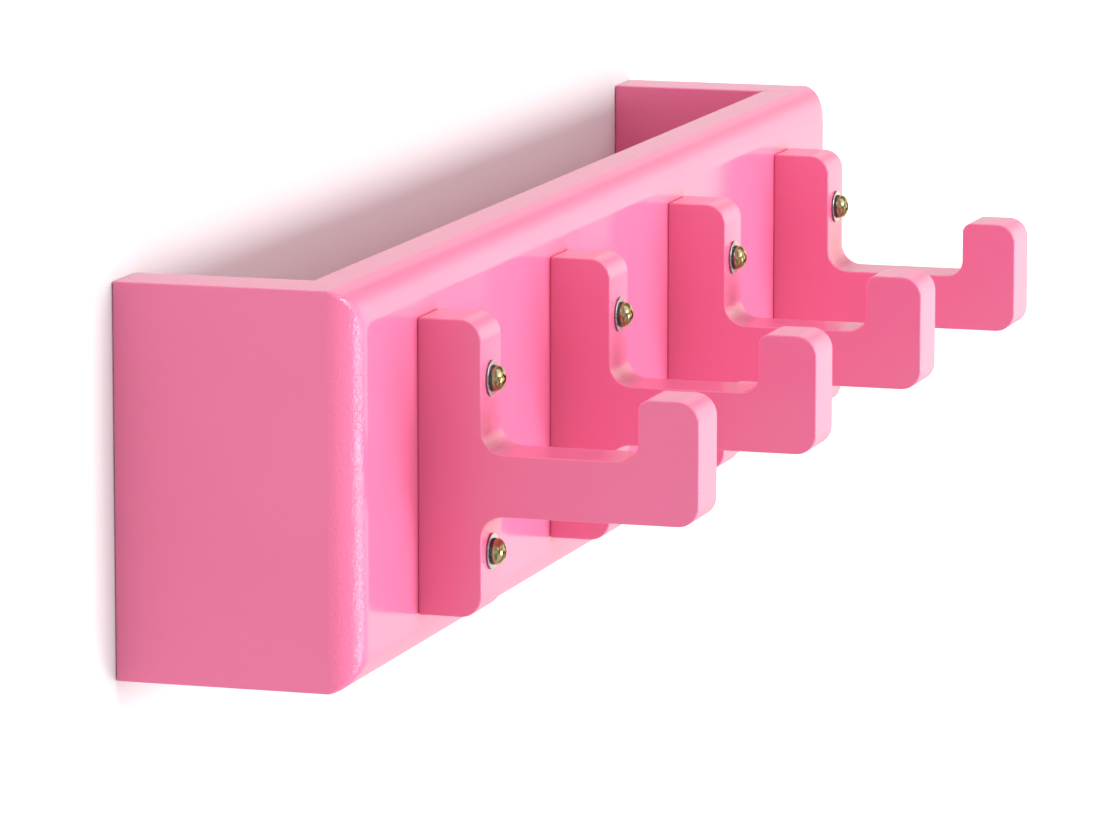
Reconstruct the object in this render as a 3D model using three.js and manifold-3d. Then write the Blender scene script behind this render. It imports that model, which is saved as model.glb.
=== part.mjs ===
// A wall rack with four hooks: a shallow open-topped trough of painted 18 mm board, with four
// boot-shaped hooks bolted to its front board and two keyhole hangers let into its back edges.
//
// Millimetres. +X runs along the rack, to the right of someone facing it, +Y goes into the wall
// and +Z is up. The origin is on the wall, at mid-length, level with the rack's underside.

import * as THREE from "three";
import { mergeVertices } from "three/addons/utils/BufferGeometryUtils.js";
import Module from "manifold-3d";

// ---- driving dimensions ----------------------------------------------------------------------

const RACK_LENGTH = 480;
const RACK_HEIGHT = 108;
const BOARD = 18; // thickness of every board, hooks included
const TROUGH_DEPTH = 50; // from the wall to the back of the front board
// The round-over on the four front edges: how far it reaches over the face, and how deep it is.
const FRONT_ROUND = { across: 10, depth: 8 };

const HOOK_COUNT = 4;
const HOOK_PITCH = 120;
const HOOK_FOOT = 12.5; // height of a hook's lowest edge above the rack's underside

// A hook's side outline, measured outwards from the front board and up from its lowest edge.
const HOOK = {
  plateDepth: 18,
  plateHeight: 81.5,
  reach: 79,
  armBottom: 28,
  armTop: 45,
  tipDepth: 17,
  tipTop: 62,
  outerRound: 6,
  innerRound: 6.5, // between the plate and the arm
  rootRound: 5, // between the arm and the tip
  tipRound: 3, // the tip's upper edge on the plate's side
};
const SCREW_INSET = 17; // from the plate's upper and lower edges to the screws

const SCREW = { radius: 2, length: 30, headRadius: 3.6, headHeight: 2.8, rimHeight: 0.5, chamfer: 0.8 };
const RECESS = { span: 4.2, floorSpan: 1.8, width: 0.9, depth: 1.4 }; // the cross in a screw's head
const WASHER = { outer: 5, inner: 2.3, thickness: 0.7, chamfer: 0.15 };
const LOCK_WASHER = { outer: 3.7, inner: 2.3, thickness: 0.7, splitAngle: 0.16 };
const INSERT = { outer: 4, inner: 2.3, length: 10, groove: 0.4, sunk: 0.3 };

const DOWEL = { radius: 4, length: 30, chamfer: 1, inThinBoard: 10 };
const END_DOWEL_HEIGHTS = [30, 60, 90];
const BOTTOM_END_DOWEL_PLACES = [-13, -37]; // y of the dowels from the bottom board into each end
const BOTTOM_FRONT_DOWEL_PLACES = [-100, 100]; // x of those from the bottom board into the front

const HANGER = { width: 13, height: 44, thickness: 1.5, sunk: 0.3, centreHeight: 80 };
const KEYHOLE = { headRadius: 4.6, neckRadius: 2.4, headDrop: 5, neckRise: 5, pocketDepth: 9 };
const HANGER_SCREW = { spacing: 34, radius: 1.3, headRadius: 2.8, headHeight: 1.5, length: 14, sunk: 0.1 };

const GAP = 0.3; // between a piece and the hole it sits in
const END_GAP = 0.5; // past the end of a dowel or a screw

const ARC_STEPS = 6; // straight steps in each rounded corner
const RING_STEPS = 20; // straight steps round a lock washer
const ROUND_SIDES = 16; // sides of a screw, a washer or a hole
const HIDDEN_SIDES = 12; // sides of a dowel or an insert, and of the hole it fills

// ---- derived places --------------------------------------------------------------------------

const halfLength = RACK_LENGTH / 2;
const innerHalf = halfLength - BOARD; // from mid-length to an end panel's inner face
const endCentre = halfLength - BOARD / 2;
const frontBack = -TROUGH_DEPTH; // the front board's back face
const frontFace = frontBack - BOARD;
const plateFace = frontFace - HOOK.plateDepth; // where the washers sit
const screwSeat = plateFace - WASHER.thickness - LOCK_WASHER.thickness; // under a screw's head
const screwHeights = {
  lower: HOOK_FOOT + SCREW_INSET,
  upper: HOOK_FOOT + HOOK.plateHeight - SCREW_INSET,
};
const hookPlaces = Array.from({ length: HOOK_COUNT }, (_, i) => (i - (HOOK_COUNT - 1) / 2) * HOOK_PITCH);

// ---- materials -------------------------------------------------------------------------------

const PAINT = { color: 0xe85c93, roughness: 0.3, metalness: 0 };
const BEECH = { color: 0xcfa878, roughness: 0.8, metalness: 0 };
const YELLOW_ZINC = { color: 0xc9b45c, roughness: 0.25, metalness: 1 };
const BRIGHT_ZINC = { color: 0xc9ccd0, roughness: 0.3, metalness: 1 };
const BRASS = { color: 0xb8964a, roughness: 0.35, metalness: 1 };

// ---- solids ----------------------------------------------------------------------------------

const wasm = await Module();
wasm.setup();

// Turns a closed three.js geometry into a solid that can be cut and joined.
function solidFrom(geometry) {
  const bare = geometry.clone();
  bare.deleteAttribute("normal");
  bare.deleteAttribute("uv");
  const merged = mergeVertices(bare, 1e-4);
  return new wasm.Manifold(
    new wasm.Mesh({
      numProp: 3,
      vertProperties: merged.attributes.position.array,
      triVerts: new Uint32Array(merged.index.array),
    }),
  );
}

// Turns a solid back into a flat-shaded three.js geometry.
function geometryFrom(solid) {
  const mesh = solid.getMesh();
  const geometry = new THREE.BufferGeometry();
  geometry.setAttribute("position", new THREE.BufferAttribute(mesh.vertProperties, 3));
  geometry.setIndex(new THREE.BufferAttribute(mesh.triVerts, 1));
  const flat = geometry.toNonIndexed();
  flat.computeVertexNormals();
  return flat;
}

// Cuts each tool out of a geometry.
function cut(geometry, tools) {
  return geometryFrom(tools.reduce((solid, tool) => solid.subtract(solidFrom(tool)), solidFrom(geometry)));
}

const X = new THREE.Vector3(1, 0, 0);
const Y = new THREE.Vector3(0, 1, 0);
const Z = new THREE.Vector3(0, 0, 1);

// Extrudes a shape drawn in a plane whose axes are u and v by the given depth along u × v.
// An arc takes two straight steps for each of its segments.
function extrude(shape, depth, u, v, steps = ARC_STEPS) {
  const geometry = new THREE.ExtrudeGeometry(shape, { depth, bevelEnabled: false, curveSegments: steps / 2 });
  return geometry.applyMatrix4(new THREE.Matrix4().makeBasis(u, v, u.clone().cross(v)));
}

// Turns a profile of [radius, place] pairs about the X or Y axis. Places increase along the profile
// while it runs up the outside of the solid.
function turn(profile, sides, axis) {
  const lathe = new THREE.LatheGeometry(
    profile.map(([radius, place]) => new THREE.Vector2(radius, place)),
    sides,
  );
  if (axis === Y) return lathe;
  return lathe.applyMatrix4(new THREE.Matrix4().makeBasis(Y, X, Z.clone().negate()));
}

// A plain rod or drill from one place to another along the X or Y axis.
function rod(radius, from, to, axis, sides = ROUND_SIDES) {
  return turn([[0, from], [radius, from], [radius, to], [0, to]], sides, axis);
}

// A box given by its lowest and highest corners.
function block(low, high) {
  const size = high.map((value, i) => value - low[i]);
  const centre = high.map((value, i) => (value + low[i]) / 2);
  return new THREE.BoxGeometry(...size).translate(...centre);
}

// A closed outline through the corners [u, v, radius], each rounded by its own radius.
function roundedOutline(corners) {
  const shape = new THREE.Shape();
  const points = corners.map(([u, v]) => new THREE.Vector2(u, v));
  corners.forEach(([, , radius], i) => {
    const corner = points[i];
    const before = points.at(i - 1).clone().sub(corner).normalize();
    const after = points[(i + 1) % points.length].clone().sub(corner).normalize();
    const start = corner.clone().addScaledVector(before, radius);
    const end = corner.clone().addScaledVector(after, radius);
    if (i === 0) shape.moveTo(start.x, start.y);
    else shape.lineTo(start.x, start.y);
    if (radius === 0) return;
    const centre = start.clone().addScaledVector(after, radius);
    const startAngle = Math.atan2(start.y - centre.y, start.x - centre.x);
    const endAngle = Math.atan2(end.y - centre.y, end.x - centre.x);
    shape.absarc(centre.x, centre.y, radius, startAngle, endAngle, before.cross(after) > 0);
  });
  shape.closePath();
  return shape;
}

// A slot standing upright in the XZ plane, with round ends centred at low and high.
function uprightSlot(radius, low, high) {
  const shape = new THREE.Shape();
  shape.absarc(0, high, radius, 0, Math.PI, false);
  shape.absarc(0, low, radius, Math.PI, 2 * Math.PI, false);
  shape.closePath();
  return shape;
}

// ---- the trough ------------------------------------------------------------------------------

// The front board's outline from its back face to its front, between two of its opposite edges.
// Each round-over's arc leaves the face smoothly and meets the board's edge at a slight crease.
function roundedBoard(low, high) {
  const { across, depth } = FRONT_ROUND;
  const radius = (across ** 2 + depth ** 2) / (2 * depth);
  const swept = Math.asin(across / radius);
  const forwards = -Math.PI / 2;
  const shape = new THREE.Shape();
  shape.moveTo(high, frontBack);
  shape.lineTo(low, frontBack);
  shape.absarc(low + across, frontFace + radius, radius, forwards - swept, forwards, false);
  shape.absarc(high - across, frontFace + radius, radius, forwards, forwards + swept, false);
  shape.closePath();
  return shape;
}

// The front board: its upright and its level front edges are rounded by two crossing extrusions.
function frontBoard() {
  const upright = solidFrom(extrude(roundedBoard(-halfLength, halfLength), RACK_HEIGHT, X, Y));
  const level = solidFrom(extrude(roundedBoard(0, RACK_HEIGHT), RACK_LENGTH, Z, Y).translate(halfLength, 0, 0));
  const body = geometryFrom(upright.intersect(level));

  const insertPocket = (x, z) => {
    const floor = screwSeat + SCREW.length + END_GAP;
    return rod(INSERT.outer + GAP, frontFace - 1, floor, Y, HIDDEN_SIDES).translate(x, 0, z);
  };
  return cut(body, [
    ...hookPlaces.flatMap((x) => Object.values(screwHeights).map((z) => insertPocket(x, z))),
    ...endDowelPlaces().map(([x, z]) => dowelHole(Y).translate(x, frontBack, z)),
    ...BOTTOM_FRONT_DOWEL_PLACES.map((x) => dowelHole(Y).translate(x, frontBack, BOARD / 2)),
  ]);
}

// An end panel, for side -1 or 1, with its dowel holes and its keyhole hanger's recess.
function endPanel(side) {
  const centre = side * endCentre;
  const body = block(
    [centre - BOARD / 2, frontBack, 0],
    [centre + BOARD / 2, 0, RACK_HEIGHT],
  );
  return cut(body, [
    ...END_DOWEL_HEIGHTS.map((z) => dowelHole(Y).translate(centre, frontBack, z)),
    ...BOTTOM_END_DOWEL_PLACES.map((y) => bottomEndHole(side, y)),
    ...hangerRecess().map((tool) => tool.translate(centre, 0, HANGER.centreHeight)),
  ]);
}

function bottomBoard() {
  const body = block([-innerHalf, frontBack, 0], [innerHalf, 0, BOARD]);
  return cut(body, [
    ...[-1, 1].flatMap((side) => BOTTOM_END_DOWEL_PLACES.map((y) => bottomEndHole(side, y))),
    ...BOTTOM_FRONT_DOWEL_PLACES.map((x) => dowelHole(Y).translate(x, frontBack, BOARD / 2)),
  ]);
}

// ---- dowels ----------------------------------------------------------------------------------

// The x and z of the dowels between the front board and the end panels.
function endDowelPlaces() {
  return [-1, 1].flatMap((side) => END_DOWEL_HEIGHTS.map((z) => [side * endCentre, z]));
}

// A dowel lying along an axis about the joint's plane, with its longer part on the positive side.
function dowel(axis) {
  const { radius, length, chamfer, inThinBoard } = DOWEL;
  const low = -inThinBoard;
  const high = length - inThinBoard;
  const profile = [
    [0, low],
    [radius - chamfer, low],
    [radius, low + chamfer],
    [radius, high - chamfer],
    [radius - chamfer, high],
    [0, high],
  ];
  return turn(profile, HIDDEN_SIDES, axis);
}

// The hole for a dowel, through both boards of the joint. Its longer part is on the side given.
function dowelHole(axis, side = 1) {
  const { radius, length, inThinBoard } = DOWEL;
  const ends = [-inThinBoard - END_GAP, length - inThinBoard + END_GAP].map((place) => side * place);
  return rod(radius + GAP, Math.min(...ends), Math.max(...ends), axis, HIDDEN_SIDES);
}

// The hole for a dowel between the bottom board and the end panel on the given side.
function bottomEndHole(side, y) {
  return dowelHole(X, -side).translate(side * innerHalf, y, BOARD / 2);
}

// ---- hooks -----------------------------------------------------------------------------------

// A hook at the middle of the rack: its side outline extruded by one board's thickness.
function hook() {
  const h = HOOK;
  const outwards = (distance) => frontFace - distance;
  const upwards = (height) => HOOK_FOOT + height;
  const outline = [
    [0, 0, 0],
    [0, h.plateHeight, 0],
    [h.plateDepth, h.plateHeight, h.outerRound],
    [h.plateDepth, h.armTop, h.innerRound],
    [h.reach - h.tipDepth, h.armTop, h.rootRound],
    [h.reach - h.tipDepth, h.tipTop, h.tipRound],
    [h.reach, h.tipTop, h.outerRound],
    [h.reach, h.armBottom, h.outerRound],
    [h.plateDepth, h.armBottom, h.outerRound],
    [h.plateDepth, 0, h.outerRound],
  ].map(([distance, height, radius]) => [outwards(distance), upwards(height), radius]);
  const body = extrude(roundedOutline(outline), BOARD, Y, Z).translate(-BOARD / 2, 0, 0);
  const screwHole = rod(SCREW.radius + GAP, plateFace - 1, frontFace + 1, Y);
  return cut(body, Object.values(screwHeights).map((z) => screwHole.clone().translate(0, 0, z)));
}

// ---- fasteners -------------------------------------------------------------------------------

// One arm of the cross in a screw's head, tapering from its mouth to its floor.
function recessArm(mouth, across) {
  const { span, floorSpan, width, depth } = RECESS;
  const past = 0.5; // how far the cutter starts outside the head
  const shape = new THREE.Shape([
    new THREE.Vector2(-span / 2, -past),
    new THREE.Vector2(span / 2, -past),
    new THREE.Vector2(span / 2, 0),
    new THREE.Vector2(floorSpan / 2, depth),
    new THREE.Vector2(-floorSpan / 2, depth),
    new THREE.Vector2(-span / 2, 0),
  ]);
  const arm = across
    ? extrude(shape, width, X, Y).translate(0, 0, -width / 2)
    : extrude(shape, width, Z, Y).translate(width / 2, 0, 0);
  return arm.translate(0, mouth, 0);
}

// A pan-head machine screw along Y, its head's underside on the seat and its point towards +Y.
function machineScrew() {
  const { radius, length, headRadius, headHeight, rimHeight, chamfer } = SCREW;
  const crown = screwSeat - headHeight;
  const dome = [0, 0.25, 0.5, 0.75, 1].map((t) => {
    const angle = (t * Math.PI) / 2;
    return [headRadius * Math.sin(angle), screwSeat - rimHeight - (headHeight - rimHeight) * Math.cos(angle)];
  });
  const profile = [
    ...dome,
    [headRadius, screwSeat],
    [radius, screwSeat],
    [radius, screwSeat + length - chamfer],
    [radius - chamfer, screwSeat + length],
    [0, screwSeat + length],
  ];
  return cut(turn(profile, ROUND_SIDES, Y), [recessArm(crown, true), recessArm(crown, false)]);
}

// A flat washer against the hook's plate.
function flatWasher() {
  const { outer, inner, thickness, chamfer } = WASHER;
  const face = plateFace - thickness;
  const profile = [
    [inner, face],
    [outer - chamfer, face],
    [outer, face + chamfer],
    [outer, plateFace],
    [inner, plateFace],
    [inner, face],
  ];
  return turn(profile, ROUND_SIDES, Y);
}

// A split lock washer between the flat washer and the screw's head.
function lockWasher() {
  const { outer, inner, thickness, splitAngle } = LOCK_WASHER;
  const shape = new THREE.Shape();
  shape.absarc(0, 0, outer, splitAngle, 2 * Math.PI - splitAngle, false);
  shape.absarc(0, 0, inner, 2 * Math.PI - splitAngle, splitAngle, true);
  shape.closePath();
  return extrude(shape, thickness, X, Z, RING_STEPS).translate(0, plateFace - WASHER.thickness, 0);
}

// A threaded insert in the front board, with a groove round its middle.
function threadedInsert() {
  const { outer, inner, length, groove, sunk } = INSERT;
  const start = frontFace + sunk;
  const at = (share) => start + length * share;
  const profile = [
    [inner, at(0)],
    [outer, at(0)],
    [outer, at(0.4)],
    [outer - groove, at(0.5)],
    [outer, at(0.6)],
    [outer, at(1)],
    [inner, at(1)],
    [inner, at(0)],
  ];
  return turn(profile, HIDDEN_SIDES, Y);
}

// ---- keyhole hangers -------------------------------------------------------------------------

// The cutters for a hanger's place in an end panel's back edge: a shallow seat for the plate, a
// deeper pocket for the wall screw's head, and two pilot holes.
function hangerRecess() {
  const { width, height, thickness, sunk } = HANGER;
  const end = height / 2 - width / 2;
  const seat = thickness + sunk + GAP;
  const cutter = (radius, low, high, depth) =>
    extrude(uprightSlot(radius, low, high), depth + 1, X, Z).translate(0, 1, 0);
  const pilot = rod(
    HANGER_SCREW.radius + GAP,
    -HANGER_SCREW.sunk - sunk - HANGER_SCREW.length - END_GAP,
    0,
    Y,
  );
  return [
    cutter(width / 2 + GAP, -end, end, seat),
    cutter(KEYHOLE.headRadius, -KEYHOLE.headDrop, KEYHOLE.neckRise, KEYHOLE.pocketDepth),
    ...[-1, 1].map((side) => pilot.clone().translate(0, 0, (side * HANGER_SCREW.spacing) / 2)),
  ];
}

// A keyhole hanger plate, standing, with its outer face just below the panel's back edge.
function keyholeHanger() {
  const { width, height, thickness, sunk } = HANGER;
  const end = height / 2 - width / 2;
  const face = -sunk;
  const plate = extrude(uprightSlot(width / 2, -end, end), thickness, X, Z).translate(0, face, 0);
  const through = thickness + 2;
  const cutters = [
    rod(KEYHOLE.headRadius, -through, through, Y).translate(0, 0, -KEYHOLE.headDrop),
    extrude(uprightSlot(KEYHOLE.neckRadius, -KEYHOLE.headDrop, KEYHOLE.neckRise), 2 * through, X, Z)
      .translate(0, through, 0),
    ...[-1, 1].map((side) => countersink(face).translate(0, 0, (side * HANGER_SCREW.spacing) / 2)),
  ];
  return cut(plate, cutters);
}

// A countersunk hole from a face at +Y down through the plate.
function countersink(face) {
  const { radius, headRadius, headHeight, sunk } = HANGER_SCREW;
  const slope = (headRadius - radius) / headHeight;
  const wide = headRadius + GAP + slope * sunk;
  const profile = [
    [0, face - HANGER.thickness - 1],
    [radius + GAP, face - HANGER.thickness - 1],
    [radius + GAP, face - sunk - headHeight],
    [wide, face],
    [wide, face + 1],
    [0, face + 1],
  ];
  return turn(profile, ROUND_SIDES, Y);
}

// A small countersunk screw along Y, its head towards the wall and its point towards the room.
function hangerScrew() {
  const { radius, headRadius, headHeight, length, sunk } = HANGER_SCREW;
  const top = -HANGER.sunk - sunk;
  const point = 3;
  const profile = [
    [0, top - length],
    [radius, top - length + point],
    [radius, top - headHeight],
    [headRadius, top],
    [0, top],
  ];
  return turn(profile, ROUND_SIDES, Y);
}

// ---- assembly --------------------------------------------------------------------------------

function piece(name, geometry, look, x = 0, y = 0, z = 0) {
  const mesh = new THREE.Mesh(geometry, new THREE.MeshStandardMaterial(look));
  mesh.name = name;
  mesh.position.set(x, y, z);
  return mesh;
}

const trough = new THREE.Group();
trough.add(
  piece("front_board", frontBoard(), PAINT),
  piece("end_panel_left", endPanel(-1), PAINT),
  piece("end_panel_right", endPanel(1), PAINT),
  piece("bottom_board", bottomBoard(), PAINT),
);

const dowels = new THREE.Group();
const acrossDowel = dowel(Y);
const leftDowel = dowel(X);
const rightDowel = leftDowel.clone().rotateZ(Math.PI);
for (const [side, name, bottomDowel] of [[-1, "left", leftDowel], [1, "right", rightDowel]]) {
  END_DOWEL_HEIGHTS.forEach((z, i) => {
    dowels.add(piece(`end_dowel_${name}_${i + 1}`, acrossDowel, BEECH, side * endCentre, frontBack, z));
  });
  BOTTOM_END_DOWEL_PLACES.forEach((y, i) => {
    dowels.add(piece(`bottom_dowel_${name}_${i + 1}`, bottomDowel, BEECH, side * innerHalf, y, BOARD / 2));
  });
}
BOTTOM_FRONT_DOWEL_PLACES.forEach((x, i) => {
  dowels.add(piece(`bottom_dowel_front_${i + 1}`, acrossDowel, BEECH, x, frontBack, BOARD / 2));
});

const hooks = new THREE.Group();
const hookShape = hook();
const fasteners = {
  screw: [machineScrew(), YELLOW_ZINC],
  lock_washer: [lockWasher(), BRIGHT_ZINC],
  flat_washer: [flatWasher(), BRIGHT_ZINC],
  insert: [threadedInsert(), BRASS],
};
hookPlaces.forEach((x, i) => {
  const name = `hook_${i + 1}`;
  const set = new THREE.Group();
  set.position.x = x;
  set.add(piece(name, hookShape, PAINT));
  for (const [level, z] of Object.entries(screwHeights)) {
    for (const [kind, [shape, look]] of Object.entries(fasteners)) {
      set.add(piece(`${name}_${level}_${kind}`, shape, look, 0, 0, z));
    }
  }
  hooks.add(set);
});

const hangers = new THREE.Group();
const hangerShape = keyholeHanger();
const hangerScrewShape = hangerScrew();
for (const [side, name] of [[-1, "left"], [1, "right"]]) {
  const set = new THREE.Group();
  set.position.set(side * endCentre, 0, HANGER.centreHeight);
  set.add(piece(`hanger_${name}`, hangerShape, BRIGHT_ZINC));
  for (const [level, direction] of [["lower", -1], ["upper", 1]]) {
    const z = (direction * HANGER_SCREW.spacing) / 2;
    set.add(piece(`hanger_${name}_${level}_screw`, hangerScrewShape, BRIGHT_ZINC, 0, 0, z));
  }
  hangers.add(set);
}

const group = new THREE.Group();
group.add(trough, dowels, hooks, hangers);

export default group;
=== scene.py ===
import math

import bmesh
import bpy
from mathutils import Matrix, Vector


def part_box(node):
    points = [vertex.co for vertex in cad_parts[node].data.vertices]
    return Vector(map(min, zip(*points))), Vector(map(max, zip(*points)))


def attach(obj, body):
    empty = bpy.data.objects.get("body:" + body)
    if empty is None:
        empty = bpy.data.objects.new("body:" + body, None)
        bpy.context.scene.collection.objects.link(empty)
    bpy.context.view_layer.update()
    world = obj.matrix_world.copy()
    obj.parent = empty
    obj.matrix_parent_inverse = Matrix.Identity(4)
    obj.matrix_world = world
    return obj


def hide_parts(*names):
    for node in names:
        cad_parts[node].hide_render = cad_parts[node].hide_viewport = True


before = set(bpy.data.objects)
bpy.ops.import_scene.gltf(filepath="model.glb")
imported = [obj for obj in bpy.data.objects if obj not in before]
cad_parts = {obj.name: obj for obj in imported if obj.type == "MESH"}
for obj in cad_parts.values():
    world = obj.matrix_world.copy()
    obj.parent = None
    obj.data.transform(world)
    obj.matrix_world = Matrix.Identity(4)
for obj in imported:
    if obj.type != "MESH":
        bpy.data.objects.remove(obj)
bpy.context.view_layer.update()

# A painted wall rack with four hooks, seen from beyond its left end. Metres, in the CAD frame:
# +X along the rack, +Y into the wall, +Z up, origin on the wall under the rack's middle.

MM = 0.001

# ---- shapes that the frame's boxes don't give ------------------------------------------------

ROUND_ACROSS = 10 * MM     # how far the front board's round-over reaches over its face
ROUND_DEPTH = 8 * MM       # and how deep it is
CORNER_SANDED = 4 * MM     # how round its four front corners are sanded
EASED = 0.5 * MM           # softened arrises of painted board
CREVICE = 0.7 * MM         # softened arris round a hook's back
ARC_STEPS = 12             # straight steps along a rounding

HOOK_ARM_BOTTOM = 28 * MM  # heights above the hook's lowest edge
HOOK_ARM_TOP = 45 * MM
HOOK_TIP_TOP = 62 * MM
HOOK_PLATE_DEPTH = 18 * MM
HOOK_TIP_DEPTH = 17 * MM
HOOK_OUTER_ROUND = 6 * MM
HOOK_INNER_ROUND = 6.5 * MM
HOOK_ROOT_ROUND = 5 * MM
HOOK_TIP_ROUND = 3 * MM

GAP = 0.3 * MM             # round a piece in its hole
END_GAP = 0.5 * MM         # past a piece's end in its hole
CUT_PAST = 1 * MM          # how far a cutter starts outside the surface it enters

HOOKS = ["hook_1", "hook_2", "hook_3", "hook_4"]
LEVELS = ["lower", "upper"]
SIDES = ["left", "right"]
END_DOWELS = {side: [f"end_dowel_{side}_{i}" for i in (1, 2, 3)] for side in SIDES}
BOTTOM_DOWELS = {side: [f"bottom_dowel_{side}_{i}" for i in (1, 2)] for side in SIDES}
FRONT_DOWELS = ["bottom_dowel_front_1", "bottom_dowel_front_2"]

# ---- camera ----------------------------------------------------------------------------------

CAMERA_PLACE = Vector((-1.9271, -0.6466, 0.3735))
CAMERA_AZIMUTH = 72.69     # degrees from straight at the wall, towards the rack's right end
CAMERA_ELEVATION = 9.454   # degrees that it looks down
CAMERA_LENS = 226.1        # mm on a 36 mm sensor


def make_camera():
    data = bpy.data.cameras.new("camera")
    data.lens = CAMERA_LENS
    data.sensor_width = 36
    data.clip_start = 0.05
    data.clip_end = 60
    camera = bpy.data.objects.new("camera", data)
    camera.location = CAMERA_PLACE
    camera.rotation_euler = (math.radians(90 - CAMERA_ELEVATION), 0, math.radians(-CAMERA_AZIMUTH))
    bpy.context.scene.collection.objects.link(camera)
    bpy.context.scene.camera = camera


make_camera()

# ---- small node helpers ----------------------------------------------------------------------


class Nodes:
    """The node tree of a material or world, with short ways to make and join its nodes."""

    def __init__(self, owner):
        owner.use_nodes = True
        self.tree = owner.node_tree
        self.material = owner
        self.shader = self.tree.nodes.get("Principled BSDF")

    def add(self, kind, **values):
        node = self.tree.nodes.new("ShaderNode" + kind)
        for key, value in values.items():
            setattr(node, key, value)
        return node

    def join(self, source, target):
        self.tree.links.new(source, target)

    def put(self, socket, value):
        """Joins value to a socket if it is another node's output, and sets it there otherwise."""
        if isinstance(value, bpy.types.NodeSocket):
            self.join(value, socket)
        else:
            socket.default_value = value

    def math(self, operation, first, second=0.0, clamp=False):
        node = self.add("Math", operation=operation, use_clamp=clamp)
        self.put(node.inputs[0], first)
        self.put(node.inputs[1], second)
        return node.outputs[0]

    def ramp(self, value, low, high, start=0.0, end=1.0):
        """Maps low..high smoothly to start..end, and holds the ends."""
        node = self.add("MapRange", interpolation_type="SMOOTHSTEP")
        self.put(node.inputs["Value"], value)
        for key, number in zip(("From Min", "From Max", "To Min", "To Max"), (low, high, start, end)):
            node.inputs[key].default_value = number
        return node.outputs["Result"]

    def noise(self, size, detail=2.0, roughness=0.5, stretch=(1, 1, 1)):
        """Noise with features of about this size in metres, in object coordinates."""
        node = self.add("TexNoise")
        node.inputs["Scale"].default_value = 1.0 / size
        node.inputs["Detail"].default_value = detail
        node.inputs["Roughness"].default_value = roughness
        self.join(self.place(stretch), node.inputs["Vector"])
        return node.outputs["Fac"]

    def place(self, stretch=(1, 1, 1)):
        coordinates = self.add("TexCoord").outputs["Object"]
        mapping = self.add("Mapping")
        mapping.inputs["Scale"].default_value = stretch
        self.join(coordinates, mapping.inputs["Vector"])
        return mapping.outputs["Vector"]

    def split(self, vector):
        node = self.add("SeparateXYZ")
        self.join(vector, node.inputs[0])
        return node.outputs

    def blend(self, factor, first, second):
        """A number between two others."""
        node = self.add("Mix", data_type="FLOAT")
        for socket, value in zip(node.inputs, (factor, None, first, second)):
            if value is not None:
                self.put(socket, value)
        return node.outputs[0]

    def mix(self, factor, first, second):
        """A colour between two others."""
        node = self.add("Mix", data_type="RGBA")
        self.put(node.inputs["Factor"], factor)
        for socket, value in zip((node.inputs[6], node.inputs[7]), (first, second)):
            self.put(socket, (*value, 1) if isinstance(value, tuple) else value)
        return node.outputs[2]

    def bump(self, height, distance, strength=1.0, after=None):
        node = self.add("Bump")
        self.put(node.inputs["Strength"], strength)
        node.inputs["Distance"].default_value = distance
        self.join(height, node.inputs["Height"])
        if after is not None:
            self.join(after, node.inputs["Normal"])
        return node.outputs["Normal"]


# ---- materials -------------------------------------------------------------------------------

PINK = (0.89, 0.187, 0.355)
PINK_DEEP = (0.88, 0.18, 0.346)
PAINT_IOR = 1.5
CLOUD_SIZE = 45 * MM       # of the patches where the pink is deeper
SHEEN_SIZE = 1.1 * MM      # of the spots where the gloss is duller
PEEL_SIZE = 2.2 * MM       # of the sprayed paint's orange peel
PEEL_HEIGHT = 0.02 * MM
LINE_SIZE = 1.2 * MM       # between the cutter's lines on routed edges
LINE_HEIGHT = 0.08 * MM
LINE_STRETCH = (1, 1, 0.03)
SPECKLE_SIZE = 0.8 * MM    # of the raised fibres on routed edges
SPECKLE_HEIGHT = 0.3 * MM


def paint(name, routed):
    """Gloss pink paint on fibreboard. routed(nodes) gives the share of routed-edge roughness."""
    n = Nodes(bpy.data.materials.new(name))
    share = routed(n)
    patches = n.noise(CLOUD_SIZE, detail=3)
    n.join(n.mix(n.ramp(patches, 0.35, 0.65), PINK, PINK_DEEP), n.shader.inputs["Base Color"])
    mottle = n.noise(SHEEN_SIZE, detail=3, roughness=0.6)
    n.join(n.ramp(mottle, 0.3, 0.7, 0.13, 0.19), n.shader.inputs["Roughness"])
    n.shader.inputs["IOR"].default_value = PAINT_IOR
    peel = n.bump(n.noise(PEEL_SIZE, detail=1), PEEL_HEIGHT, 0.35)
    cutter_lines = n.noise(LINE_SIZE, detail=2, stretch=LINE_STRETCH)
    lines = n.bump(cutter_lines, LINE_HEIGHT, n.math("MULTIPLY", share, 0.5), after=peel)
    speckle = n.noise(SPECKLE_SIZE, detail=2, roughness=0.6)
    edge = n.bump(speckle, SPECKLE_HEIGHT, n.math("MULTIPLY", share, 0.7), after=lines)
    n.join(edge, n.shader.inputs["Normal"])
    return n.material


def board_routed(n):
    """1 on the front board's upright round-overs, weaker on its level ones, 0 on flat faces."""
    normal = n.split(n.add("NewGeometry").outputs["True Normal"])
    x = n.math("ABSOLUTE", normal[0])
    y = n.math("ABSOLUTE", normal[1])
    z = n.math("ABSOLUTE", normal[2])
    upright = n.math("MULTIPLY", n.ramp(x, 0.1, 0.3), n.ramp(y, 0.1, 0.3))
    level = n.math("MULTIPLY", n.ramp(z, 0.1, 0.3), n.ramp(y, 0.1, 0.3))
    return n.math("ADD", upright, n.math("MULTIPLY", level, 0.15), clamp=True)


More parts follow.
